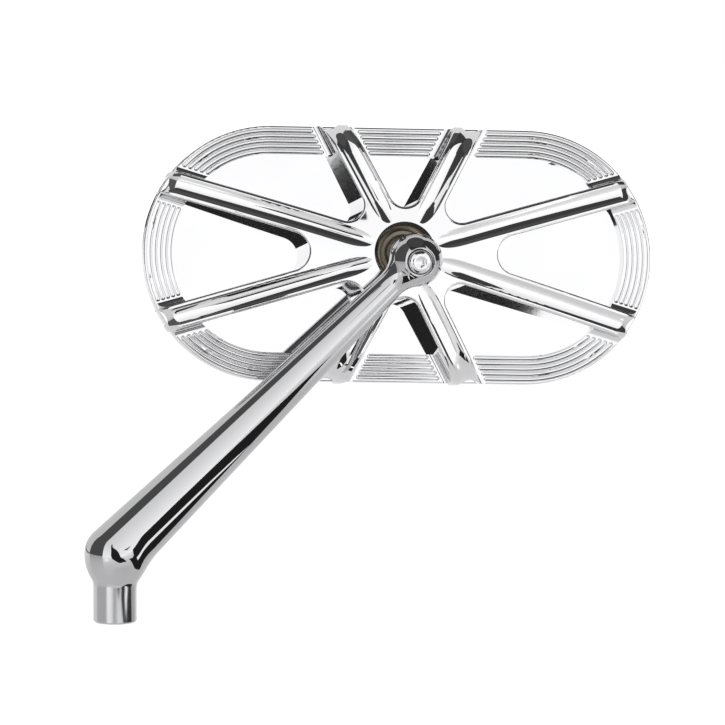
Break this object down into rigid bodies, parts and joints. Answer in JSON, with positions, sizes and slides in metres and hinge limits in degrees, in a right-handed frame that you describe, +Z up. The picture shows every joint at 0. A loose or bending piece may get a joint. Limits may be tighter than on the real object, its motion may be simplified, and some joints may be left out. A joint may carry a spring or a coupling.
{
  "type": "motorcycle mirror",
  "caption": "Chrome motorcycle mirror: oblong head with a fluted rim and grooved spokes, held by a ball joint at the end of a tapered arm that rises from a threaded stem collar.",
  "frame": {"origin": "centre of the collar's bottom face, at the mouth of the threaded hole", "axes": "+Z up along the collar, arm leaning towards +X, spoked face of the head towards -Y, glass towards +Y"},
  "size_m": [0.1758, 0.0517, 0.1417],
  "materials": {
    "arm_chrome": "polished chrome plate",
    "head_chrome": "polished chrome plate",
    "screw_chrome": "bright chrome plate",
    "washer_steel": "bright zinc plated",
    "stud_steel": "turned steel, lightly oiled",
    "seat_bronze": "turned bronze",
    "inner_steel": "turned steel",
    "spring_steel": "spring steel",
    "liner_plastic": "moulded acetal",
    "pad_foam": "adhesive foam",
    "mirror_silver": "silvered glass"
  },
  "bodies": {
    "stem": {"stem_arm": "arm_chrome"},
    "stud": {"ball_stud": "stud_steel", "pivot_screw": "screw_chrome", "screw_washer": "washer_steel", "friction_washer": "liner_plastic"},
    "liner": {"front_liner": "liner_plastic", "rear_liner": "liner_plastic"},
    "head": {"mirror_head": "head_chrome", "front_seat": "seat_bronze", "rear_seat": "inner_steel", "disc_springs": "spring_steel", "rear_plug": "inner_steel", "glass_pad": "pad_foam", "mirror_glass": "mirror_silver"}
  },
  "joints": [
    {"name": "stud_turn", "type": "hinge", "parent": "stem", "child": "stud", "pos_m": [0.0902, 0.0183, 0.1041], "axis": [0, 1, 0], "range_deg": [-15, 15]},
    {"name": "head_pan", "type": "hinge", "parent": "stud", "child": "liner", "pos_m": [0.0902, 0.0183, 0.1041], "axis": [0, 0, 1], "range_deg": [-12, 6]},
    {"name": "head_tilt", "type": "hinge", "parent": "liner", "child": "head", "pos_m": [0.0902, 0.0183, 0.1041], "axis": [0.9966, -0.0819, 0], "range_deg": [-5, 16]}
  ]
}
